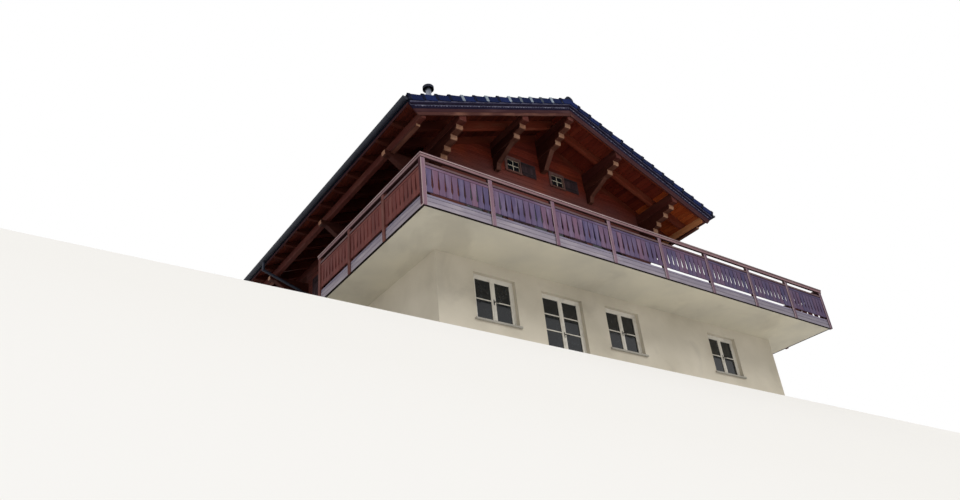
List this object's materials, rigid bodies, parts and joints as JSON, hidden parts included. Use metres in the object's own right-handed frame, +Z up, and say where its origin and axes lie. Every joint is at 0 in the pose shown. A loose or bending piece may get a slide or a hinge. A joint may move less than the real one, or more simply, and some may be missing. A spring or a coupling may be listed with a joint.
{
  "type": "alpine chalet",
  "caption": "Alpine chalet: a rendered ground storey, a wraparound terrace with a carved balustrade, a timber upper storey with stepped consoles, and a wide gable roof of dark tiles.",
  "frame": {"origin": "on the ground, at the middle of the underside of the ground floor's body part, under the middle of the ridge", "axes": "+X to the right seen from the front gable, +Y from the front gable to the back, +Z up"},
  "size_m": [14.75, 9.72, 8.0426],
  "materials": {
    "screed": "troweled concrete floor, dull",
    "render": "fine pale render, matte",
    "slab_render": "smooth cream plaster on the slab, matte",
    "white_paint": "white painted wood",
    "window_glass": "clear window glass",
    "weathered_wood": "weathered, stained pine boards",
    "red_brown_wood": "red-brown stained pine logs and boards",
    "ochre_wood": "ochre stained spruce beams",
    "soffit_wood": "orange-brown varnished rafters and boards",
    "roof_tile": "dark blue-grey engobed clay tiles",
    "sheet_metal": "dark coated gutter sheet",
    "flue_steel": "dull stainless flue",
    "zinc": "dull zinc drip strips"
  },
  "bodies": {
    "root": {"ground_floor": "screed", "lower_front_wall": "render", "lower_left_wall": "render", "lower_back_wall": "render", "lower_right_wall": "render", "wing_right_wall": "render", "wing_back_wall": "render", "lower_window_frames": "white_paint", "lower_glass": "window_glass", "terrace_slab": "slab_render", "front_fascia": "weathered_wood", "side_fascia": "weathered_wood", "back_fascia": "weathered_wood", "front_posts": "weathered_wood", "side_posts": "weathered_wood", "back_posts": "weathered_wood", "front_boards": "weathered_wood", "side_boards": "red_brown_wood", "back_boards": "red_brown_wood", "front_rails": "weathered_wood", "side_rails": "weathered_wood", "back_rails": "weathered_wood", "upper_front_wall": "red_brown_wood", "upper_back_wall": "red_brown_wood", "upper_left_wall": "red_brown_wood", "upper_right_wall": "red_brown_wood", "attic_floor": "soffit_wood", "upper_window_frames": "red_brown_wood", "upper_glass": "window_glass", "shutters": "ochre_wood", "purlins": "ochre_wood", "gable_consoles": "ochre_wood", "side_consoles": "ochre_wood", "rafters": "soffit_wood", "roof_boards": "soffit_wood", "barge_boards": "red_brown_wood", "verge_strips": "zinc", "eave_boards": "red_brown_wood", "left_tiles": "roof_tile", "right_tiles": "roof_tile", "verge_tiles": "roof_tile", "ridge_tiles": "roof_tile", "gutters": "sheet_metal", "downpipes": "sheet_metal", "flue": "flue_steel"}
  },
  "joints": []
}
